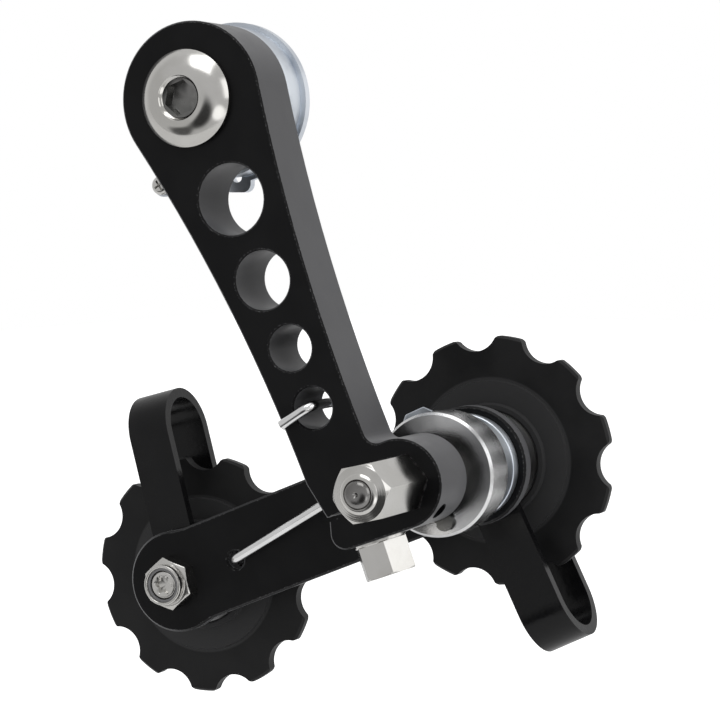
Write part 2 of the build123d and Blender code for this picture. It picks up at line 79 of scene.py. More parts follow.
def makeCamera(spec):
    turn = radians(spec["azimuth"])
    lift = radians(spec["elevation"])
    right = Vector((cos(turn), sin(turn), 0))
    ahead = Vector((-sin(turn) * cos(lift), cos(turn) * cos(lift), -sin(lift)))
    up = right.cross(ahead)
    half = spec["imageSize"] / 2
    across = (spec["boltPixel"][0] - half) / spec["focalPixels"]
    above = (half - spec["boltPixel"][1]) / spec["focalPixels"]
    place = Vector(spec["boltFace"]) - spec["boltDepth"] * (ahead + across * right + above * up)
    data = bpy.data.cameras.new("photoCamera")
    data.sensor_width = spec["sensor"]
    data.lens = spec["focalPixels"] / spec["imageSize"] * spec["sensor"]
    data.clip_start = 0.01
    data.clip_end = 20
    camera = bpy.data.objects.new("photoCamera", data)
    bpy.context.scene.collection.objects.link(camera)
    camera.matrix_world = Matrix((
        (right.x, up.x, -ahead.x, place.x),
        (right.y, up.y, -ahead.y, place.y),
        (right.z, up.z, -ahead.z, place.z),
        (0, 0, 0, 1),
    ))
    bpy.context.scene.camera = camera


makeCamera(cameraSpec)
bpy.context.scene.view_settings.view_transform = "Standard"
print("stage: camera")


# Studio: white surround with soft lamps; metal also sees a dim patch near the camera
studioSpec = {
    "diffuseLevel": 0.62,
    "surroundBack": 0.74,
    "surroundFront": 0.62,
    "turnsDim": (0.25, -0.25),
    "patches": (
        ((0.15, -0.90, -0.40), 16.0, 31.0, 0.04),
        ((-0.41, -0.64, -0.65), 10.0, 22.0, 0.12),
        ((0.74, -0.54, -0.42), 11.0, 15.0, 1.6),
    ),
    "floorDrop": 0.066,
    "floorFront": -0.11,
    "floorSize": 3.0,
    "floorColour": 0.80,
    "floorGlow": 0.82,
    "floorGloss": 0.18,
    "floorRough": 0.9,
    "lampAim": (0.02, 0, -0.045),
    "lamps": (
        ("lampAbove", (0.06, -0.25, 0.52), 0.40, 0.9),
        ("lampRight", (0.62, -0.12, 0.20), 0.40, 0.5),
        ("lampBack", (0.75, 0.42, 0.25), 0.60, 0.8),
    ),
}


def lightPatch(tree, direction, level, patch):
    # Blends the level towards the patch's own within its angle
    centre, inner, outer, value = patch
    dot = tree.nodes.new("ShaderNodeVectorMath")
    dot.operation = "DOT_PRODUCT"
    dot.inputs[1].default_value = Vector(centre).normalized()
    tree.links.new(direction, dot.inputs[0])
    mask = tree.nodes.new("ShaderNodeMapRange")
    mask.interpolation_type = "SMOOTHSTEP"
    mask.inputs["From Min"].default_value = cos(radians(outer))
    mask.inputs["From Max"].default_value = cos(radians(inner))
    tree.links.new(dot.outputs["Value"], mask.inputs["Value"])
    blend = tree.nodes.new("ShaderNodeMix")
    tree.links.new(mask.outputs["Result"], blend.inputs["Factor"])
    tree.links.new(level, blend.inputs["A"])
    blend.inputs["B"].default_value = value
    return blend.outputs["Result"]


def makeWorld(spec):
    world = bpy.data.worlds.new("studioWorld")
    bpy.context.scene.world = world
    world.use_nodes = True
    tree = world.node_tree
    tree.nodes.clear()
    link = tree.links.new
    out = tree.nodes.new("ShaderNodeOutputWorld")
    coord = tree.nodes.new("ShaderNodeTexCoord")
    split = tree.nodes.new("ShaderNodeSeparateXYZ")
    link(coord.outputs["Generated"], split.inputs[0])
    depth = tree.nodes.new("ShaderNodeMapRange")
    depth.interpolation_type = "SMOOTHSTEP"
    depth.inputs["From Min"].default_value = spec["turnsDim"][1]
    depth.inputs["From Max"].default_value = spec["turnsDim"][0]
    depth.inputs["To Min"].default_value = spec["surroundFront"]
    depth.inputs["To Max"].default_value = spec["surroundBack"]
    link(split.outputs["Y"], depth.inputs["Value"])
    level = depth.outputs["Result"]
    for patch in spec["patches"]:
        level = lightPatch(tree, coord.outputs["Generated"], level, patch)
    surround = tree.nodes.new("ShaderNodeBackground")
    surround.inputs["Color"].default_value = (1, 1, 1, 1)
    link(level, surround.inputs["Strength"])
    soft = tree.nodes.new("ShaderNodeBackground")
    soft.inputs["Color"].default_value = (1, 1, 1, 1)
    soft.inputs["Strength"].default_value = spec["diffuseLevel"]
    white = tree.nodes.new("ShaderNodeBackground")
    white.inputs["Color"].default_value = (1, 1, 1, 1)
    path = tree.nodes.new("ShaderNodeLightPath")
    seen = tree.nodes.new("ShaderNodeMath")
    seen.operation = "MAXIMUM"
    link(path.outputs["Is Glossy Ray"], seen.inputs[0])
    link(path.outputs["Is Transmission Ray"], seen.inputs[1])
    reflected = tree.nodes.new("ShaderNodeMixShader")
    link(seen.outputs[0], reflected.inputs[0])
    link(soft.outputs[0], reflected.inputs[1])
    link(surround.outputs[0], reflected.inputs[2])
    direct = tree.nodes.new("ShaderNodeMixShader")
    link(path.outputs["Is Camera Ray"], direct.inputs[0])
    link(reflected.outputs[0], direct.inputs[1])
    link(white.outputs[0], direct.inputs[2])
    link(direct.outputs[0], out.inputs["Surface"])


def makeLamp(name, place, size, power, target):
    data = bpy.data.lights.new(name, "AREA")
    data.shape = "SQUARE"
    data.size = size
    data.energy = power
    lamp = bpy.data.objects.new(name, data)
    bpy.context.scene.collection.objects.link(lamp)
    lamp.location = place
    aim = Vector(target) - Vector(place)
    lamp.rotation_euler = aim.to_track_quat("-Z", "Y").to_euler()


def makeFloor(spec):
    height = cadBox[0][2] - spec["floorDrop"]
    half = spec["floorSize"] / 2
    front = spec["floorFront"]
    back = front + spec["floorSize"]
    mesh = bpy.data.meshes.new("floor")
    corners = [(-half, front, height), (half, front, height), (half, back, height), (-half, back, height)]
    mesh.from_pydata(corners, [], [(0, 1, 2, 3)])
    floor = bpy.data.objects.new("floor", mesh)
    bpy.context.scene.collection.objects.link(floor)
    material = bpy.data.materials.new("paleFloor")
    material.use_nodes = True
    tree = material.node_tree
    shader = tree.nodes["Principled BSDF"]
    shader.inputs["Base Color"].default_value = (spec["floorColour"],) * 3 + (1,)
    shader.inputs["Roughness"].default_value = spec["floorRough"]
    shader.inputs["Emission Color"].default_value = (1, 1, 1, 1)
    path = tree.nodes.new("ShaderNodeLightPath")
    glows = []
    for output, level in (("Is Camera Ray", spec["floorGlow"]), ("Is Glossy Ray", spec["floorGloss"])):
        glow = tree.nodes.new("ShaderNodeMath")
        glow.operation = "MULTIPLY"
        glow.inputs[1].default_value = level
        tree.links.new(path.outputs[output], glow.inputs[0])
        glows.append(glow.outputs[0])
    total = tree.nodes.new("ShaderNodeMath")
    tree.links.new(glows[0], total.inputs[0])
    tree.links.new(glows[1], total.inputs[1])
    tree.links.new(total.outputs[0], shader.inputs["Emission Strength"])
    floor.data.materials.append(material)


makeWorld(studioSpec)
for lampRow in studioSpec["lamps"]:
    makeLamp(*lampRow, studioSpec["lampAim"])
makeFloor(studioSpec)
print("stage: studio")


# Shader groups that several finishes share
cloudRange = (0.35, 0.65)  # the part of the noise that the clouds use


def newGroup(name, inputs, outputs):
    group = bpy.data.node_groups.new(name, "ShaderNodeTree")
    for socketName, kind, value in inputs:
        socket = group.interface.new_socket(name=socketName, in_out="INPUT", socket_type=kind)
        socket.default_value = value
    for socketName, kind in outputs:
        group.interface.new_socket(name=socketName, in_out="OUTPUT", socket_type=kind)
    return group, group.nodes.new("NodeGroupInput"), group.nodes.new("NodeGroupOutput")


def mathNode(tree, operation, first, second=None, clamp=False):
    node = tree.nodes.new("ShaderNodeMath")
    node.operation = operation
    node.use_clamp = clamp
    for index, value in enumerate((first, second)):
        if value is None:
            continue
        if isinstance(value, (int, float)):
            node.inputs[index].default_value = value
        else:
            tree.links.new(value, node.inputs[index])
    return node.outputs[0]


def mapRange(tree, value, low, high, toLow=0.0, toHigh=1.0):
    node = tree.nodes.new("ShaderNodeMapRange")
    node.interpolation_type = "SMOOTHSTEP"
    tree.links.new(value, node.inputs["Value"])
    pairs = (("From Min", low), ("From Max", high), ("To Min", toLow), ("To Max", toHigh))
    for socketName, item in pairs:
        if isinstance(item, (int, float)):
            node.inputs[socketName].default_value = item
        else:
            tree.links.new(item, node.inputs[socketName])
    return node.outputs["Result"]


def makeGrainGroup():
    # Fine even grain, as on anodised or blasted metal and on moulded plastic
    inputs = (
        ("Scale", "NodeSocketFloat", 4000.0),
        ("Rough Low", "NodeSocketFloat", 0.3),
        ("Rough High", "NodeSocketFloat", 0.4),
        ("Cloud Scale", "NodeSocketFloat", 120.0),
    )
    outputs = (("Height", "NodeSocketFloat"), ("Roughness", "NodeSocketFloat"), ("Cloud", "NodeSocketFloat"))
    group, source, sink = newGroup("surfaceGrain", inputs, outputs)
    link = group.links.new
    coord = group.nodes.new("ShaderNodeTexCoord")
    fine = group.nodes.new("ShaderNodeTexNoise")
    fine.inputs["Detail"].default_value = 3.0
    link(coord.outputs["Object"], fine.inputs["Vector"])
    link(source.outputs["Scale"], fine.inputs["Scale"])
    cloud = group.nodes.new("ShaderNodeTexNoise")
    cloud.inputs["Detail"].default_value = 4.0
    link(coord.outputs["Object"], cloud.inputs["Vector"])
    link(source.outputs["Cloud Scale"], cloud.inputs["Scale"])
    span = (source.outputs["Rough Low"], source.outputs["Rough High"])
    rough = mapRange(group, cloud.outputs["Fac"], *cloudRange, *span)
    link(fine.outputs["Fac"], sink.inputs["Height"])
    link(rough, sink.inputs["Roughness"])
    link(cloud.outputs["Fac"], sink.inputs["Cloud"])
    return group


def makeWearGroup():
    # A mask of outer edges, broken up by noise
    inputs = (
        ("Radius", "NodeSocketFloat", 0.0003),
        ("Amount", "NodeSocketFloat", 0.5),
        ("Break Scale", "NodeSocketFloat", 2600.0),
        ("Break Low", "NodeSocketFloat", 0.48),
        ("Break High", "NodeSocketFloat", 0.72),
    )
    group, source, sink = newGroup("edgeWear", inputs, (("Mask", "NodeSocketFloat"),))
    link = group.links.new
    bevel = group.nodes.new("ShaderNodeBevel")
    bevel.samples = 6
    link(source.outputs["Radius"], bevel.inputs["Radius"])
    geometry = group.nodes.new("ShaderNodeNewGeometry")
    dot = group.nodes.new("ShaderNodeVectorMath")
    dot.operation = "DOT_PRODUCT"
    link(bevel.outputs["Normal"], dot.inputs[0])
    link(geometry.outputs["Normal"], dot.inputs[1])
    edge = mapRange(group, dot.outputs["Value"], 0.995, 0.90)
    coord = group.nodes.new("ShaderNodeTexCoord")
    noise = group.nodes.new("ShaderNodeTexNoise")
    noise.inputs["Detail"].default_value = 5.0
    link(coord.outputs["Object"], noise.inputs["Vector"])
    link(source.outputs["Break Scale"], noise.inputs["Scale"])
    broken = mapRange(group, noise.outputs["Fac"], source.outputs["Break Low"], source.outputs["Break High"])
    mask = mathNode(group, "MULTIPLY", edge, broken)
    mask = mathNode(group, "MULTIPLY", mask, source.outputs["Amount"], clamp=True)
    link(mask, sink.inputs["Mask"])
    return group


def makeTurnedGroup():
    # Fine tool rings round an axis parallel to Y
    inputs = (
        ("Centre X", "NodeSocketFloat", 0.0),
        ("Centre Z", "NodeSocketFloat", 0.0),
        ("Ring Pitch", "NodeSocketFloat", 0.0003),
    )
    outputs = (("Height", "NodeSocketFloat"), ("Radius", "NodeSocketFloat"))
    group, source, sink = newGroup("turnedRings", inputs, outputs)
    link = group.links.new
    coord = group.nodes.new("ShaderNodeTexCoord")
    split = group.nodes.new("ShaderNodeSeparateXYZ")
    link(coord.outputs["Object"], split.inputs[0])
    dx = mathNode(group, "SUBTRACT", split.outputs["X"], source.outputs["Centre X"])
    dz = mathNode(group, "SUBTRACT", split.outputs["Z"], source.outputs["Centre Z"])
    square = mathNode(group, "ADD", mathNode(group, "MULTIPLY", dx, dx), mathNode(group, "MULTIPLY", dz, dz))
    radius = mathNode(group, "SQRT", square)
    link(radius, sink.inputs["Radius"])
    phase = mathNode(group, "DIVIDE", radius, source.outputs["Ring Pitch"])
    rings = mathNode(group, "SINE", mathNode(group, "MULTIPLY", phase, 2 * pi))
    geometry = group.nodes.new("ShaderNodeNewGeometry")
    facing = group.nodes.new("ShaderNodeSeparateXYZ")
    link(geometry.outputs["True Normal"], facing.inputs[0])
    across = mapRange(group, mathNode(group, "ABSOLUTE", facing.outputs["Y"]), 0.3, 0.7)
    link(mathNode(group, "MULTIPLY", rings, across), sink.inputs["Height"])
    return group


grainGroup = makeGrainGroup()
wearGroup = makeWearGroup()
turnedGroup = makeTurnedGroup()


def placeGroup(tree, group, **values):
    node = tree.nodes.new("ShaderNodeGroup")
    node.node_tree = group
    for key, value in values.items():
        node.inputs[key].default_value = value
    return node


def bump(tree, height, strength, distance):
    node = tree.nodes.new("ShaderNodeBump")
    node.inputs["Strength"].default_value = strength
    node.inputs["Distance"].default_value = distance
    tree.links.new(height, node.inputs["Height"])
    return node


def mixColour(tree, factor, first, second):
    node = tree.nodes.new("ShaderNodeMix")
    node.data_type = "RGBA"
    tree.links.new(factor, node.inputs["Factor"])
    for socketName, value in (("A", first), ("B", second)):
        socket = [s for s in node.inputs if s.name == socketName and s.type == "RGBA"][0]
        if isinstance(value, tuple):
            socket.default_value = value + (1,)
        else:
            tree.links.new(value, socket)
    return [s for s in node.outputs if s.type == "RGBA"][0]


# Finishes
finishSpec = {
    "blackAnodised": {
        "dark": (0.0035, 0.0035, 0.004), "light": (0.006, 0.006, 0.0065), "worn": (0.55, 0.55, 0.56),
        "metallic": 0.0, "rough": (0.32, 0.40), "grain": 9000.0, "bump": 0.10, "depth": 0.00004,
        "wear": 0.36, "wearRadius": 0.00028, "specular": 0.15,
        # painted sheen: side walls seen at a grazing angle are coloured lighter, standing in for the
        # surround's reflection
        "paintedSheen": (0.115, 0.115, 0.12), "paintedSheenFrom": (0.25, 0.75),
    },
    "nickelSteel": {
        "dark": (0.55, 0.54, 0.515), "light": (0.64, 0.63, 0.61),
        "metallic": 1.0, "rough": (0.12, 0.20), "grain": 3500.0, "bump": 0.06, "depth": 0.00004,
        "specular": 0.5,
    },
    "grainySteel": {
        "dark": (0.58, 0.58, 0.59), "light": (0.82, 0.82, 0.82), "worn": (0.80, 0.80, 0.80),
        "metallic": 1.0, "rough": (0.15, 0.27), "grain": 6500.0, "bump": 0.45, "depth": 0.00005,
        "wear": 0.5, "wearRadius": 0.0003, "specular": 0.5,
    },
    "zincSteel": {
        "dark": (0.58, 0.62, 0.68), "light": (0.78, 0.82, 0.87), "worn": (0.78, 0.80, 0.84),
        "metallic": 1.0, "rough": (0.30, 0.42), "grain": 2600.0, "bump": 0.08, "depth": 0.00005,
        "wear": 0.3, "wearRadius": 0.0002, "specular": 0.5,
    },
    "bareSteel": {
        "dark": (0.34, 0.34, 0.34), "light": (0.46, 0.46, 0.46),
        "metallic": 1.0, "rough": (0.30, 0.42), "grain": 3000.0, "bump": 0.10, "depth": 0.00005,
        "specular": 0.5,
    },
    "darkSteel": {
        "dark": (0.13, 0.125, 0.12), "light": (0.26, 0.255, 0.25), "worn": (0.4, 0.4, 0.4),
        "metallic": 1.0, "rough": (0.13, 0.22), "grain": 3000.0, "bump": 0.10, "depth": 0.00005,
        "wear": 0.3, "wearRadius": 0.0002, "specular": 0.5,
    },
    "springWire": {
        "dark": (0.76, 0.76, 0.76), "light": (0.88, 0.88, 0.88),
        "metallic": 1.0, "rough": (0.12, 0.20), "grain": 3200.0, "bump": 0.08, "depth": 0.00004,
        "specular": 0.5,
    },
    "bearingBronze": {
        "dark": (0.38, 0.25, 0.11), "light": (0.52, 0.36, 0.17),
        "metallic": 1.0, "rough": (0.38, 0.5), "grain": 2500.0, "bump": 0.15, "depth": 0.00005,
        "specular": 0.5,
    },
    "wheelPlastic": {
        "dark": (0.007, 0.007, 0.0075), "light": (0.012, 0.012, 0.0125), "worn": (0.05, 0.05, 0.05),
        "metallic": 0.0, "rough": (0.42, 0.52), "grain": 2400.0, "bump": 0.18, "depth": 0.00006,
        "wear": 0.3, "wearRadius": 0.0003, "specular": 0.25,
    },
    # darker steel: the collar screw takes it, and it is painted shade on the walls inside the hanger bolt's
    # socket
    "darkScrewAndSocketShade": {
        "dark": (0.16, 0.16, 0.155), "light": (0.28, 0.275, 0.27),
        "metallic": 1.0, "rough": (0.24, 0.34), "grain": 3000.0, "bump": 0.15, "depth": 0.00005,
        "specular": 0.5,
    },
    "nylon": {
        "dark": (0.16, 0.16, 0.165), "light": (0.24, 0.24, 0.245),
        "metallic": 0.0, "rough": (0.40, 0.5), "grain": 2400.0, "bump": 0.10, "depth": 0.00005,
        "specular": 0.5,
    },
    "guardPlastic": {
        "dark": (0.003, 0.003, 0.0035), "light": (0.006, 0.006, 0.0065), "worn": (0.04, 0.04, 0.04),
        "metallic": 0.0, "rough": (0.18, 0.30), "grain": 1300.0, "bump": 0.30, "depth": 0.00008,
        "wear": 0.2, "wearRadius": 0.0003, "specular": 0.24,
    },
}


def makeFinish(name, spec, rings=None, webLightPaint=None):
    material = bpy.data.materials.new(name)
    material.use_nodes = True
    tree = material.node_tree
    shader = tree.nodes["Principled BSDF"]
    grain = placeGroup(tree, grainGroup, **{
        "Scale": spec["grain"], "Rough Low": spec["rough"][0], "Rough High": spec["rough"][1],
    })
    cloud = mapRange(tree, grain.outputs["Cloud"], *cloudRange)
    colour = mixColour(tree, cloud, spec["dark"], spec["light"])
    # Painted sheen: the colour lightens towards grazing view angles, standing in for the surround's
    # reflection on side walls
    if "paintedSheen" in spec:
        facing = tree.nodes.new("ShaderNodeLayerWeight").outputs["Facing"]
        colour = mixColour(tree, mapRange(tree, facing, *spec["paintedSheenFrom"]), colour, spec["paintedSheen"])
    # Painted light: a lighter disc inside the given radius round the wheel's centre, standing in for the
    # light that the web catches
    if webLightPaint:
        disc = placeGroup(tree, turnedGroup, **{"Centre X": webLightPaint["centre"][0], "Centre Z": webLightPaint["centre"][1]})
        rim = (webLightPaint["radius"] + webLightPaint["blur"], webLightPaint["radius"] - webLightPaint["blur"])
        inside = mapRange(tree, disc.outputs["Radius"], *rim)
        colour = mixColour(tree, inside, colour, webLightPaint["colour"])
    if "wear" in spec:
        wear = placeGroup(tree, wearGroup, Radius=spec["wearRadius"], Amount=spec["wear"])
        colour = mixColour(tree, wear.outputs["Mask"], colour, spec["worn"])
    tree.links.new(colour, shader.inputs["Base Color"])
    tree.links.new(grain.outputs["Roughness"], shader.inputs["Roughness"])
    shader.inputs["Metallic"].default_value = spec["metallic"]
    shader.inputs["Specular IOR Level"].default_value = spec["specular"]
    rough = bump(tree, grain.outputs["Height"], spec["bump"], spec["depth"])
    if rings:
        turned = placeGroup(tree, turnedGroup, **{
            "Centre X": rings["centre"][0], "Centre Z": rings["centre"][1], "Ring Pitch": rings["pitch"],
        })
        lathe = bump(tree, turned.outputs["Height"], rings["strength"], rings["depth"])
        tree.links.new(rough.outputs["Normal"], lathe.inputs["Normal"])
        rough = lathe
    tree.links.new(rough.outputs["Normal"], shader.inputs["Normal"])
    return material


finishes = {name: makeFinish(name, spec) for name, spec in finishSpec.items()}
pivotPlace = (36.29, -59.39)
wheelDistance = 59.0
cageAngle = 202.3
tensionPlace = (
    pivotPlace[0] + wheelDistance * cos(radians(cageAngle)),
    pivotPlace[1] + wheelDistance * sin(radians(cageAngle)),
)
shaftRings = {
    "centre": (pivotPlace[0] * mm, pivotPlace[1] * mm), "pitch": 0.00035, "strength": 0.05, "depth": 0.00006,
}
# Painted light: each wheel's web inside this radius is coloured lighter, standing in for the light that it
# catches
webLightPaintDisc = {"radius": 0.0140, "blur": 0.0002, "colour": (0.034, 0.034, 0.035)}
for wheelName, place in (("guideWheelPlastic", pivotPlace), ("tensionWheelPlastic", tensionPlace)):
    disc = dict(webLightPaintDisc, centre=(place[0] * mm, place[1] * mm))
    finishes[wheelName] = makeFinish(wheelName, finishSpec["wheelPlastic"], webLightPaint=disc)
finishes["turnedNickel"] = makeFinish("turnedNickel", finishSpec["nickelSteel"], shaftRings)
slotFinish = {
    "black_anodised": "blackAnodised",
    "nickel_steel": "nickelSteel",
    "zinc_steel": "zincSteel",
    "bare_steel": "bareSteel",
    "dark_steel": "darkSteel",
    "spring_steel": "springWire",
    "bearing_bronze": "bearingBronze",
    "wheel_plastic": "wheelPlastic",
    "guard_plastic": "guardPlastic",
}
nodeFinish = {
    "spring_collar": "grainySteel",
    "collar_screw": "darkScrewAndSocketShade",
    "hex_shaft": "turnedNickel",
    "guide_wheel": "guideWheelPlastic",
    "tension_wheel": "tensionWheelPlastic",
}
slotOf = {row["node"]: row["material_slot"] for row in frame["record"]["subparts"]}
for nodeName, node in nodes.items():
    node.data.materials.clear()
    node.data.materials.append(finishes[nodeFinish.get(nodeName, slotFinish[slotOf[nodeName]])])
print("stage: finishes")


# Pieces turned or milled round one axis: rings along Y, each a radius or an edge shape at a depth
sharpAngle = 32.0  # an edge that bends more than this stays sharp


def hexagonEdge(flats, limit=None):
    def radiusAt(angle):
        radius = flats / 2 / cos(angle % (pi / 3) - pi / 6)
        return min(radius, limit) if limit else radius
    return radiusAt


def starEdge(outer, inner):
    def radiusAt(angle):
        return inner + (outer - inner) * (0.5 + 0.5 * cos(6 * angle))
    return radiusAt


def easedHexagon(flats, faceRadius, front, back, cuts=6):
    # Rings of a hexagon whose corners are turned off towards its front face
    corner = flats / sqrt(3)
    ease = (corner - faceRadius) * tan(radians(30)) * (1 if back > front else -1)
    rings = []
    for cut in range(cuts + 1):
        share = cut / cuts
        limit = faceRadius + (corner - faceRadius) * share
        rings.append((hexagonEdge(flats, limit), front + ease * share))
    return rings + [(hexagonEdge(flats), back)]


def domeRings(outer, inner, rimY, topY, cuts=14):
    rings = []
    for cut in range(cuts + 1):
        share = cut / cuts
        rings.append((inner + (outer - inner) * share, topY + (rimY - topY) * share ** 2))
    return rings


def finishMesh(body, name, place):
    bmesh.ops.recalc_face_normals(body, faces=body.faces)
    for edge in body.edges:
        if edge.is_manifold and edge.calc_face_angle() > radians(sharpAngle):
            edge.smooth = False
    for face in body.faces:
        face.smooth = True
    mesh = bpy.data.meshes.new(name)
    body.to_mesh(mesh)
    body.free()
    mesh.transform(Matrix.Scale(mm, 4) @ place)
    return mesh


def ringMesh(name, rings, place=Matrix.Identity(4), turn=0.0, steps=72, closed=False):
    body = bmesh.new()
    loops = []
    for edge, y in rings:
        loop = []
        for step in range(steps):
            angle = 2 * pi * step / steps
            radius = edge(angle) if callable(edge) else edge
            around = angle + radians(turn)
            loop.append(body.verts.new((radius * cos(around), y, radius * sin(around))))
        loops.append(loop)
    pairs = list(zip(loops, loops[1:]))
    if closed:
        pairs.append((loops[-1], loops[0]))
    for first, second in pairs:
        for step in range(steps):
            after = (step + 1) % steps
            body.faces.new((first[step], first[after], second[after], second[step]))
    if not closed:
        body.faces.new(loops[0])
        body.faces.new(loops[-1])
    return finishMesh(body, name, place)


def addPiece(name, mesh, body, finish, slot, *replaced):
    mesh.materials.clear()
    mesh.materials.append(finishes[finish])
    piece = bpy.data.objects.new(name, mesh)
    bpy.context.scene.collection.objects.link(piece)
    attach(piece, body)
    if replaced:
        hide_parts(*replaced)


def at(place):
    return Matrix.Translation((place[0], 0, place[1]))


# Hanger bolt: button head with a hexagonal socket in a turned lip
hangerBoltSpec = {
    "seat": -17.4, "headRadius": 7.7, "rim": 0.9, "dome": 2.3, "land": 3.75,
    "socketFlats": 5.0, "socketDepth": 2.9, "socketTurn": 20.0, "mouth": 3.12, "lip": 3.5,
    "shoulder": 6.0, "core": 4.45, "length": 7.5, "tip": 0.7,
}


def makeHangerBolt(spec):
    seat = spec["seat"]
    rimY = seat - spec["rim"]
    top = rimY - spec["dome"]
    floor = top + spec["socketDepth"]
    lip = spec["lip"]
    hexagon = hexagonEdge(spec["socketFlats"])
    inner = [(0.3, floor + 0.5), (2.3, floor + 0.12), (hexagon, floor), (hexagon, top + 0.75)]
    wall = spec["mouth"] - 0.02
    inner += [(spec["mouth"] - 0.1, top + 0.66), (wall, top + 0.62), (wall, seat + 0.58)]
    # Painted shade: the socket's walls are a separate piece in darker steel
    socket = ringMesh("hangerSocketShade", inner, turn=spec["socketTurn"], steps=96)
    addPiece("hangerSocketShade", socket, "hanger_mount", "darkScrewAndSocketShade", "nickel_steel")
    rings = [(spec["mouth"], seat + 0.6), (spec["mouth"], top + 0.52)]
    rings += [(lip - 0.12, top + 0.22), (lip - 0.03, top + 0.16)]
    rings += [(lip + 0.02, top + 0.05), (lip + 0.08, top), (spec["land"] - 0.08, top)]
    rings += domeRings(spec["headRadius"], spec["land"], rimY, top)
    rings += [(spec["headRadius"], seat - 0.12), (spec["headRadius"] - 0.12, seat), (spec["shoulder"], seat)]
    rings += [(spec["shoulder"], 0), (spec["core"], 0), (spec["core"], spec["length"] - spec["tip"])]
    rings += [(spec["core"] - spec["tip"], spec["length"])]
    mesh = ringMesh("hangerBolt", rings, turn=spec["socketTurn"], steps=96)
    addPiece("hangerBolt", mesh, "hanger_mount", "nickelSteel", "nickel_steel", "hanger_bolt")


makeHangerBolt(hangerBoltSpec)


# Lock nut of the tension wheel: hexagon, rolled collar and nylon ring
lockNutSpec = {
    "back": 11.4, "front": 6.4, "hexFront": 8.1, "flats": 8.0, "face": 3.85, "turn": -18.0,
    "collar": 3.5, "lip": 2.95, "bore": 2.53, "nylonDepth": 0.45, "foot": 0.2,
}


def makeLockNut(spec):
    corner = spec["flats"] / sqrt(3)
    roll = (spec["collar"] - spec["lip"]) / 2
    nylonY = spec["front"] + spec["nylonDepth"]
    rings = [(spec["bore"], nylonY + 0.3), (spec["lip"] - 0.02, nylonY + 0.3)]
    rings += [(spec["lip"], spec["front"] + roll)]
    for cut in range(9):
        angle = pi * cut / 8
        rings.append((spec["lip"] + roll - roll * cos(angle), spec["front"] + roll - roll * sin(angle)))
    rings += [(spec["collar"], spec["hexFront"] - 0.12), (spec["collar"] + 0.1, spec["hexFront"])]
    rings += easedHexagon(spec["flats"], spec["face"], spec["hexFront"], spec["back"] - spec["foot"])
    rings += [(hexagonEdge(spec["flats"], corner - spec["foot"]), spec["back"])]
    rings += [(spec["bore"], spec["back"])]
    mesh = ringMesh("lockNut", rings, at(tensionPlace), spec["turn"], 96, closed=True)
    addPiece("lockNut", mesh, "cage", "nickelSteel", "nickel_steel", "tension_lock_nut")
    insert = [(spec["bore"], nylonY), (spec["lip"] - 0.03, nylonY), (spec["lip"] - 0.03, nylonY + 0.28)]
    insert += [(spec["bore"], nylonY + 0.28)]
    mesh = ringMesh("nylonRing", insert, at(tensionPlace), closed=True)
    addPiece("nylonRing", mesh, "cage", "nylon", "nickel_steel")


makeLockNut(lockNutSpec)


# Axle bolts: button heads behind, a star in the tension bolt's end, a dimpled dome on the guide's
axleSpec = {
    "headRadius": 4.75, "rim": 0.6, "height": 2.7, "land": 2.6, "socketFlats": 3.0, "socketDepth": 1.6,
    "shank": 2.5, "tensionEnd": 6.95, "tensionSeat": 28.9,
    "starOuter": 1.62, "starInner": 1.15, "starDepth": 1.1,
    "guideSeat": 29.0, "noseY": -32.4, "noseStep": 1.2,
    "domeRadius": 2.17, "domeHeight": 1.3, "domeCurve": 0.8, "dimple": 0.5,
}


def axleHead(spec, seat):
    rimY = seat + spec["rim"]
    top = seat + spec["height"]
    floor = top - spec["socketDepth"]
    rings = [(spec["shank"], seat), (spec["headRadius"], seat)]
    rings += list(reversed(domeRings(spec["headRadius"], spec["land"], rimY, top)))
    rings += [(spec["socketFlats"] / 2 + 0.35, top), (spec["socketFlats"] / 2 + 0.2, top - 0.15)]
    return rings + [(hexagonEdge(spec["socketFlats"]), top - 0.2), (hexagonEdge(spec["socketFlats"]), floor)]


def makeAxleBolts(spec):
    end = spec["tensionEnd"]
    star = starEdge(spec["starOuter"], spec["starInner"])
    rings = [(0.3, end + spec["starDepth"] + 0.2), (star, end + spec["starDepth"]), (star, end + 0.12)]
    rings += [(spec["starOuter"] + 0.08, end), (spec["shank"] - 0.35, end), (spec["shank"] - 0.2, end + 0.08)]
    rings += [(spec["shank"], end + 0.4)] + axleHead(spec, spec["tensionSeat"])
    mesh = ringMesh("tensionAxleBolt", rings, at(tensionPlace))
    addPiece("tensionAxleBolt", mesh, "cage", "nickelSteel", "nickel_steel", "tension_axle_bolt")
    nose = spec["noseY"]
    radius = spec["domeRadius"]
    tip = nose - spec["domeHeight"]
    rings = [(0.12, tip + 0.3), (spec["dimple"] - 0.1, tip + 0.06)]
    for cut in range(13):
        angle = pi / 2 * cut / 12
        across = spec["dimple"] + (radius - spec["dimple"]) * sin(angle)
        rings.append((across, nose - spec["domeHeight"] * cos(angle) ** spec["domeCurve"]))
    rings += [(spec["shank"], nose + spec["noseStep"])] + axleHead(spec, spec["guideSeat"])
    mesh = ringMesh("guideAxleBolt", rings, at(pivotPlace))
    addPiece("guideAxleBolt", mesh, "shaft", "darkSteel", "dark_steel", "guide_axle_bolt")


makeAxleBolts(axleSpec)


# Raised turned ring on the shaft's nose, round the guide bolt's dome
noseSpec = {"bore": 2.19, "outer": 3.1, "inside": -31.3, "front": -32.85, "seat": -32.3}


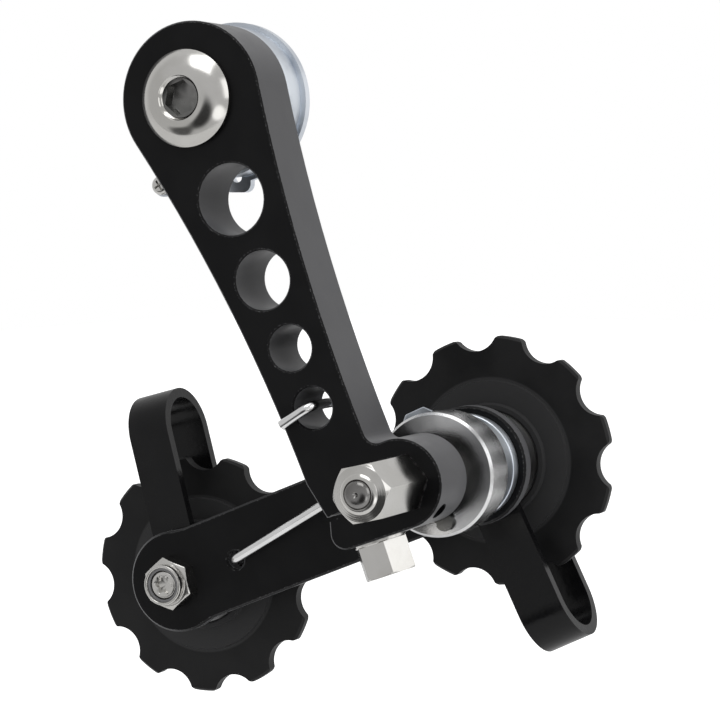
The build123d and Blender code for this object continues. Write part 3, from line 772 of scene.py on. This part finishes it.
def makeNoseRing(spec):
    rings = [(spec["bore"] + 0.25, spec["inside"]), (spec["bore"], spec["inside"])]
    rings += [(spec["bore"], spec["front"] + 0.1)]
    rings += [(spec["bore"] + 0.1, spec["front"]), (spec["bore"] + 0.3, spec["front"] + 0.02)]
    rings += [(spec["outer"] - 0.28, spec["front"] + 0.2), (spec["outer"], spec["seat"] - 0.05)]
    rings += [(spec["outer"], spec["seat"]), (spec["bore"] + 0.25, spec["seat"])]
    mesh = ringMesh("noseRing", rings, at(pivotPlace), closed=True)
    addPiece("noseRing", mesh, "shaft", "nickelSteel", "nickel_steel")


makeNoseRing(noseSpec)


# Pinch bolt under the clamp's jaw, and its washer
pinchSpec = {
    "boss": 7.0, "jawAngle": 20.0, "fromPivot": 8.4, "middle": -12.1, "washerRadius": 4.15, "washer": 0.5,
    "flats": 7.7, "face": 3.95, "height": 5.25, "turn": 0.0, "shank": 2.5, "grip": 14.0,
}


def makePinchBolt(spec):
    lean = radians(spec["jawAngle"])
    foot = Vector((
        pivotPlace[0] + spec["boss"] * sin(lean) - spec["fromPivot"] * cos(lean),
        spec["middle"],
        pivotPlace[1] - spec["boss"] * cos(lean) - spec["fromPivot"] * sin(lean),
    ))
    out = Vector((sin(lean), 0, -cos(lean)))
    along = Vector((cos(lean), 0, sin(lean)))
    side = along.cross(out)
    place = Matrix((
        (along.x, out.x, side.x, foot.x),
        (along.y, out.y, side.y, foot.y),
        (along.z, out.z, side.z, foot.z),
        (0, 0, 0, 1),
    ))
    seat = spec["washer"]
    rings = [(spec["shank"], -spec["grip"]), (spec["shank"], seat)]
    head = easedHexagon(spec["flats"], spec["face"], seat + spec["height"], seat + 0.1)
    rings += [(hexagonEdge(spec["flats"]), seat)] + list(reversed(head))[1:]
    mesh = ringMesh("pinchBolt", rings, place, spec["turn"])
    addPiece("pinchBolt", mesh, "arm", "nickelSteel", "nickel_steel", "pinch_bolt")
    outer = spec["washerRadius"]
    rings = [(spec["shank"] + 0.05, 0), (outer, 0), (outer, seat - 0.15), (outer - 0.15, seat)]
    rings += [(spec["shank"] + 0.05, seat)]
    mesh = ringMesh("pinchWasher", rings, place, closed=True)
    addPiece("pinchWasher", mesh, "arm", "nickelSteel", "nickel_steel", "pinch_washer")


makePinchBolt(pinchSpec)


# Thin washer with a flat stop tab, between the two journal washers
tabWasherSpec = {
    "front": 8.95, "back": 9.65, "bore": 4.05, "radius": 8.8, "edge": 0.12, "angle": 114.5,
    "reach": 11.8, "low": 1.3, "high": 7.1, "corner": 1.2,
}


def tabEdge(spec, inset=0.0):
    # Radius of the washer's outline at an angle from the tab's own direction
    def radiusAt(angle):
        across, along = sin(angle), cos(angle)
        radius = spec["radius"]
        if across > 0 and along > 0:
            reach = min(spec["reach"] / along, spec["high"] / across)
            reach = min(reach, (spec["reach"] + spec["high"] - spec["corner"]) / (along + across))
            if along > across:
                reach = min(reach, (spec["reach"] - spec["low"] - spec["corner"]) / (along - across))
            if reach * across > spec["low"]:
                radius = max(radius, reach)
        return radius - inset
    return radiusAt


def makeTabWasher(spec):
    edge = spec["edge"]
    outer, inner = tabEdge(spec), tabEdge(spec, edge)
    rings = [(spec["bore"], spec["front"]), (inner, spec["front"]), (outer, spec["front"] + edge)]
    rings += [(outer, spec["back"] - edge), (inner, spec["back"]), (spec["bore"], spec["back"])]
    mesh = ringMesh("stopTabWasher", rings, at(pivotPlace), spec["angle"], 360, closed=True)
    addPiece("stopTabWasher", mesh, "shaft", "zincSteel", "zinc_steel", "stop_tab_washer")


makeTabWasher(tabWasherSpec)
print("stage: bolts, nut and washers")


# Geometry Nodes: a helical thread and a bent wire
def newTree(name, inputs):
    tree = bpy.data.node_groups.new(name, "GeometryNodeTree")
    tree.interface.new_socket(name="Geometry", in_out="INPUT", socket_type="NodeSocketGeometry")
    tree.interface.new_socket(name="Geometry", in_out="OUTPUT", socket_type="NodeSocketGeometry")
    for socketName, kind in inputs:
        tree.interface.new_socket(name=socketName, in_out="INPUT", socket_type=kind)
    return tree, tree.nodes.new("NodeGroupInput"), tree.nodes.new("NodeGroupOutput")


def closeTree(tree, source, sink, geometry):
    smooth = tree.nodes.new("GeometryNodeSetShadeSmooth")
    tree.links.new(geometry, smooth.inputs["Geometry"])
    realize = tree.nodes.new("GeometryNodeRealizeInstances")
    tree.links.new(smooth.outputs["Geometry"], realize.inputs["Geometry"])
    paint = tree.nodes.new("GeometryNodeSetMaterial")
    tree.links.new(realize.outputs["Geometry"], paint.inputs["Geometry"])
    tree.links.new(source.outputs["Finish"], paint.inputs["Material"])
    tree.links.new(paint.outputs["Geometry"], sink.inputs["Geometry"])


def makeThreadTree():
    inputs = (
        ("Core Radius", "NodeSocketFloat"), ("Crest", "NodeSocketFloat"), ("Turns", "NodeSocketFloat"),
        ("Length", "NodeSocketFloat"), ("Finish", "NodeSocketMaterial"),
    )
    tree, source, sink = newTree("threadTree", inputs)
    spiral = tree.nodes.new("GeometryNodeCurveSpiral")
    spiral.inputs["Resolution"].default_value = 48
    tree.links.new(source.outputs["Turns"], spiral.inputs["Rotations"])
    tree.links.new(source.outputs["Core Radius"], spiral.inputs["Start Radius"])
    tree.links.new(source.outputs["Core Radius"], spiral.inputs["End Radius"])
    tree.links.new(source.outputs["Length"], spiral.inputs["Height"])
    ridge = tree.nodes.new("GeometryNodeCurvePrimitiveCircle")
    ridge.inputs["Resolution"].default_value = 4
    tree.links.new(source.outputs["Crest"], ridge.inputs["Radius"])
    along = tree.nodes.new("GeometryNodeSplineParameter").outputs["Factor"]
    fromMiddle = mathNode(tree, "ABSOLUTE", mathNode(tree, "SUBTRACT", along, 0.5))
    fromEnd = mathNode(tree, "SUBTRACT", 0.5, fromMiddle)
    runOut = mathNode(tree, "MAXIMUM", mathNode(tree, "MULTIPLY", fromEnd, 16.0, clamp=True), 0.02)
    sweep = tree.nodes.new("GeometryNodeCurveToMesh")
    sweep.inputs["Fill Caps"].default_value = True
    tree.links.new(runOut, sweep.inputs["Scale"])
    tree.links.new(spiral.outputs["Curve"], sweep.inputs["Curve"])
    tree.links.new(ridge.outputs["Curve"], sweep.inputs["Profile Curve"])
    closeTree(tree, source, sink, sweep.outputs["Mesh"])
    return tree


def makeWireTree():
    inputs = (("Wire Radius", "NodeSocketFloat"), ("Finish", "NodeSocketMaterial"))
    tree, source, sink = newTree("wireTree", inputs)
    ring = tree.nodes.new("GeometryNodeCurvePrimitiveCircle")
    ring.inputs["Resolution"].default_value = 20
    tree.links.new(source.outputs["Wire Radius"], ring.inputs["Radius"])
    sweep = tree.nodes.new("GeometryNodeCurveToMesh")
    sweep.inputs["Fill Caps"].default_value = True
    tree.links.new(source.outputs["Geometry"], sweep.inputs["Curve"])
    tree.links.new(ring.outputs["Curve"], sweep.inputs["Profile Curve"])
    closeTree(tree, source, sink, sweep.outputs["Mesh"])
    return tree


def growMesh(name, data, tree, values, place=Matrix.Identity(4)):
    # Runs a tree on a throwaway object and keeps the plain mesh that it gives
    holder = bpy.data.objects.new(name + "Holder", data)
    bpy.context.scene.collection.objects.link(holder)
    modifier = holder.modifiers.new("grow", "NODES")
    modifier.node_group = tree
    for item in tree.interface.items_tree:
        if item.in_out == "INPUT" and item.name in values:
            modifier[item.identifier] = values[item.name]
    graph = bpy.context.evaluated_depsgraph_get()
    graph.update()
    mesh = bpy.data.meshes.new_from_object(holder.evaluated_get(graph))
    mesh.name = name
    holder.modifiers.remove(modifier)
    bpy.data.objects.remove(holder)
    mesh.transform(place)
    return mesh


threadTree = makeThreadTree()
wireTree = makeWireTree()
threadSpec = {"core": 4.45, "crest": 0.5, "pitch": 1.0, "start": 0.6, "length": 6.0}


def makeThread(spec):
    values = {
        "Core Radius": spec["core"] * mm, "Crest": spec["crest"] * mm,
        "Turns": spec["length"] / spec["pitch"], "Length": spec["length"] * mm,
        "Finish": finishes["nickelSteel"],
    }
    lift = Matrix.Translation((0, spec["start"] * mm, 0))
    place = lift @ Matrix.Rotation(radians(-90), 4, "X")
    mesh = growMesh("hangerThread", bpy.data.meshes.new("threadSeed"), threadTree, values, place)
    addPiece("hangerThread", mesh, "hanger_mount", "nickelSteel", "nickel_steel")


makeThread(threadSpec)


# Torsion spring in two parts: the rear part runs from the cage's hook, the front leg runs along the arm
springSpec = {
    "wire": 0.8, "coil": 5.8, "pitch": 1.75, "frontY": -0.2, "extraTurns": 1, "turnPoints": 48,
    "hookReach": 46.5, "hookOff": 0.3, "cageAngle": cageAngle, "plateBack": 14.1, "plateFront": 11.4,
    "clearance": 0.2, "kink": 12.5, "bend": 2.0, "armFront": -17.4,
    "crossing": (21.72, -47.8), "tip": (16.8, -51.0),
}


def bentCorner(before, corner, after, radius, cuts=8):
    # Points of a round bend that replaces a corner
    first = (before - corner).normalized()
    second = (after - corner).normalized()
    opening = first.angle(second)
    reach = radius / tan(opening / 2)
    start, end = corner + first * reach, corner + second * reach
    points = []
    for cut in range(cuts + 1):
        share = cut / cuts
        points.append((1 - share) ** 2 * start + 2 * share * (1 - share) * corner + share ** 2 * end)
    return points


def springPoints(spec):
    centre = Vector((pivotPlace[0], 0, pivotPlace[1]))

    def around(angle, y, radius):
        return centre + Vector((radius * cos(angle), y, radius * sin(angle)))

    reach = hypot(spec["hookReach"], spec["hookOff"])
    hookAngle = radians(spec["cageAngle"]) + atan2(spec["hookOff"], spec["hookReach"])
    start = hookAngle - acos(spec["coil"] / reach)
    cross = Vector((spec["crossing"][0], 0, spec["crossing"][1]))
    offset = cross - centre
    end = atan2(offset.z, offset.x) + acos(spec["coil"] / offset.length)
    sweep = (start - end) % (2 * pi) + 2 * pi * spec["extraTurns"]
    backY = spec["frontY"] + spec["pitch"] * sweep / (2 * pi)
    hookY = spec["plateFront"] - spec["wire"] - spec["clearance"]
    legY = spec["armFront"] - spec["wire"] - spec["clearance"]
    run = sqrt(spec["kink"] ** 2 - spec["coil"] ** 2)
    hook = around(hookAngle, spec["plateBack"], reach)
    hookBend = around(hookAngle, hookY, reach)
    coilStart = around(start, backY, spec["coil"])
    kink = coilStart + run * Vector((-sin(start), 0, cos(start)))
    rear = [hook] + bentCorner(hook, hookBend, kink, spec["bend"])
    rear += bentCorner(hookBend, kink, coilStart, spec["bend"])
    steps = round(spec["turnPoints"] * sweep / (2 * pi))
    coil = []
    for step in range(steps + 1):
        share = step / steps
        depth = backY + (spec["frontY"] - backY) * share
        coil.append(around(start - sweep * share, depth, spec["coil"]))
    crossRear = cross + Vector((0, spec["frontY"], 0))
    crossFront = cross + Vector((0, legY, 0))
    tip = Vector((spec["tip"][0], legY, spec["tip"][1]))
    front = bentCorner(coil[-1], crossRear, crossFront, spec["bend"])
    front += bentCorner(crossRear, crossFront, tip, spec["bend"]) + [tip]
    middle = len(coil) // 2
    return rear + coil[:middle + 1], coil[middle:] + front


def makeSpringPart(name, points, spec):
    data = bpy.data.curves.new(name + "Route", "CURVE")
    data.dimensions = "3D"
    spline = data.splines.new("POLY")
    spline.points.add(len(points) - 1)
    for item, point in zip(spline.points, points):
        item.co = (point.x * mm, point.y * mm, point.z * mm, 1)
    values = {"Wire Radius": spec["wire"] * mm, "Finish": finishes["springWire"]}
    mesh = growMesh(name, data, wireTree, values)
    mesh.materials.clear()
    mesh.materials.append(finishes["springWire"])
    piece = bpy.data.objects.new(name, mesh)
    bpy.context.scene.collection.objects.link(piece)
    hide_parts("torsion_spring")
    return piece


rearPoints, frontPoints = springPoints(springSpec)
springRear = makeSpringPart("springRear", rearPoints, springSpec)
springFront = makeSpringPart("springFront", frontPoints, springSpec)
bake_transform(springRear)
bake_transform(springFront)
print("stage: threads and spring")
